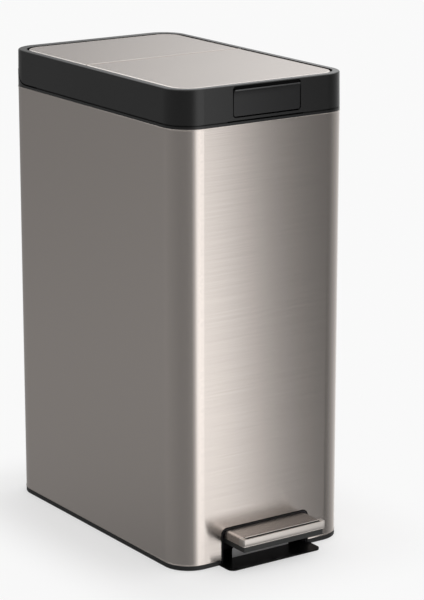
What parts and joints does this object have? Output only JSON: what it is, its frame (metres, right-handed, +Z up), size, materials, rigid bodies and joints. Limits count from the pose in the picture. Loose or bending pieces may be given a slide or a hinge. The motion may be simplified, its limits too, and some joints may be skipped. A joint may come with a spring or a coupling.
{
  "type": "step trash can",
  "caption": "Slim upright step trash can: steel wrap, black tilting collar, split steel lid that a wide front pedal lifts, pull latch and lift-out inner bucket.",
  "frame": {"origin": "middle of the footprint, pedal included, on the floor", "axes": "+Z up, the pedal and latch face -Y, the lid's hinge and the pedal's axle run along X"},
  "size_m": [0.274, 0.479, 0.65],
  "materials": {
    "steel_body": "vertical brushed, fingerprint-proof satin",
    "steel_lid": "fine brushed satin",
    "steel_pedal": "brushed satin",
    "bare_steel": "zinc-plated bare steel",
    "screw_steel": "zinc-plated",
    "spring_steel": "drawn wire",
    "black_collar": "satin moulded black",
    "black_base": "satin moulded black",
    "black_housing": "moulded black, light texture",
    "black_liner": "moulded black, light texture",
    "black_gloss": "black powder coat",
    "black_rubber": "matt",
    "white_nylon": "natural nylon",
    "grey_damper": "smooth moulded",
    "grey_bucket": "moulded dark grey, light texture"
  },
  "bodies": {
    "can": {"outer_shell": "steel_body", "base_tray": "black_base", "rubber_feet": "black_rubber", "foot_plate": "black_gloss", "foot_plate_screws": "screw_steel", "pedal_housing": "black_housing", "axle_stands": "black_housing", "pedal_axle": "bare_steel", "axle_clips": "bare_steel", "top_frame": "black_collar", "collar_hinge_pins": "bare_steel", "rod_guides": "white_nylon", "damper_cylinder": "grey_damper", "damper_cap": "black_housing", "damper_saddle": "black_housing"},
    "bucket": {"inner_bucket": "grey_bucket"},
    "collar": {"collar": "black_collar", "rear_lid_panel": "steel_lid", "rear_panel_backing": "black_liner", "rear_panel_screws": "screw_steel", "lid_bushes": "white_nylon", "lid_bumpers": "black_rubber", "latch_pin": "bare_steel"},
    "lid": {"lid_skin": "steel_lid", "lid_liner": "black_liner", "lid_hinge_rod": "bare_steel", "lid_cranks": "bare_steel", "crank_rollers": "white_nylon", "crank_screws": "screw_steel"},
    "latch": {"latch_handle": "black_collar", "latch_spring": "spring_steel"},
    "pedal": {"pedal_lever": "bare_steel", "lever_rollers": "white_nylon", "pedal_core": "black_housing", "pedal_cover": "steel_pedal"},
    "rod_left": {"lift_rod_left": "bare_steel", "rod_cap_left": "white_nylon", "rod_shoe_left": "white_nylon"},
    "rod_right": {"lift_rod_right": "bare_steel", "rod_cap_right": "white_nylon", "rod_shoe_right": "white_nylon", "damper_piston": "grey_damper"}
  },
  "joints": [
    {"name": "collar_tilt", "type": "hinge", "parent": "can", "child": "collar", "pos_m": [0, 0.2315, 0.632], "axis": [-1, 0, 0], "range_deg": [0, 80]},
    {"name": "lid_hinge", "type": "hinge", "parent": "collar", "child": "lid", "pos_m": [0, 0.0495, 0.6472], "axis": [-1, 0, 0], "range_deg": [0, 80]},
    {"name": "latch_pull", "type": "hinge", "parent": "collar", "child": "latch", "pos_m": [0, -0.1889, 0.6115], "axis": [1, 0, 0], "range_deg": [0, 16], "stiffness_Nm_per_rad": 0.3, "springref_deg": -14.32},
    {"name": "bucket_lift", "type": "slide", "parent": "can", "child": "bucket", "axis": [0, 0, 1], "range_m": [0, 0.01]},
    {"name": "pedal_press", "type": "hinge", "parent": "can", "child": "pedal", "pos_m": [0, -0.1235, 0.026], "axis": [1, 0, 0], "range_deg": [0, 10.41]},
    {"name": "rod_left_lift", "type": "slide", "parent": "can", "child": "rod_left", "axis": [0, 0, 1], "range_m": [0, 0.02803]},
    {"name": "rod_right_lift", "type": "slide", "parent": "can", "child": "rod_right", "axis": [0, 0, 1], "range_m": [0, 0.02803]}
  ],
  "couplings": [
    {"joint": "pedal_press", "follows": "lid_hinge", "ratio": 0.13019},
    {"joint": "rod_left_lift", "follows": "lid_hinge", "m_per_rad": 0.020072},
    {"joint": "rod_right_lift", "follows": "lid_hinge", "m_per_rad": 0.020072}
  ]
}
